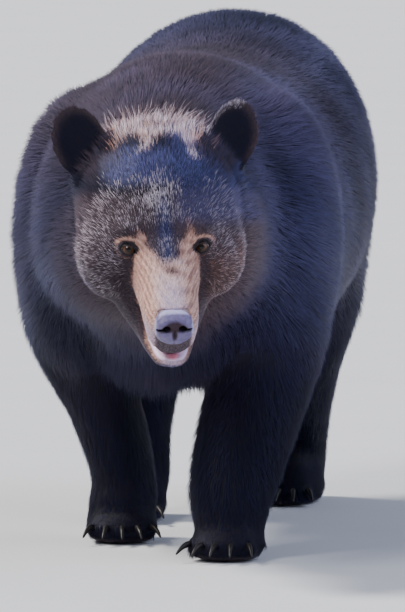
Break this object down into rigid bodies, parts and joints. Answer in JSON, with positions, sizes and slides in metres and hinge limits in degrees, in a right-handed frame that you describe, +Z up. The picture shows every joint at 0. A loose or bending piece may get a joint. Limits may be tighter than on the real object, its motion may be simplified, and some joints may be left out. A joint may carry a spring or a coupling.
{
  "type": "american black bear",
  "caption": "Life-size black bear walking on four flat paws with its head low and turned, mouth slightly open, as a still model.",
  "frame": {"origin": "on the floor, under the middle of the whole bear", "axes": "-Y towards the nose, +X towards the bear's left side, +Z up"},
  "size_m": [0.5094, 1.5642, 0.795],
  "materials": {
    "coat": "long near-black fur with a cool sheen",
    "muzzle_coat": "short fur, brown on the muzzle and dark on the crown",
    "ear_coat": "short dark brown fur",
    "nose_skin": "moist dark grey skin",
    "eye": "glossy dark brown",
    "tongue": "moist pink flesh",
    "claw_horn": "smooth dark horn"
  },
  "bodies": {
    "root": {"head": "muzzle_coat", "lower_jaw": "coat", "tongue": "tongue", "nose": "nose_skin", "ear_left": "ear_coat", "ear_right": "ear_coat", "eye_left": "eye", "eye_right": "eye", "neck": "coat", "trunk": "coat", "tail": "coat", "foreleg_left": "coat", "foreleg_right": "coat", "forepaw_left": "coat", "forepaw_right": "coat", "hindleg_left": "coat", "hindleg_right": "coat", "hindpaw_left": "coat", "hindpaw_right": "coat", "claw_forepaw_left_1": "claw_horn", "claw_forepaw_left_2": "claw_horn", "claw_forepaw_left_3": "claw_horn", "claw_forepaw_left_4": "claw_horn", "claw_forepaw_left_5": "claw_horn", "claw_forepaw_right_1": "claw_horn", "claw_forepaw_right_2": "claw_horn", "claw_forepaw_right_3": "claw_horn", "claw_forepaw_right_4": "claw_horn", "claw_forepaw_right_5": "claw_horn", "claw_hindpaw_left_1": "claw_horn", "claw_hindpaw_left_2": "claw_horn", "claw_hindpaw_left_3": "claw_horn", "claw_hindpaw_left_4": "claw_horn", "claw_hindpaw_left_5": "claw_horn", "claw_hindpaw_right_1": "claw_horn", "claw_hindpaw_right_2": "claw_horn", "claw_hindpaw_right_3": "claw_horn", "claw_hindpaw_right_4": "claw_horn", "claw_hindpaw_right_5": "claw_horn"}
  },
  "joints": []
}
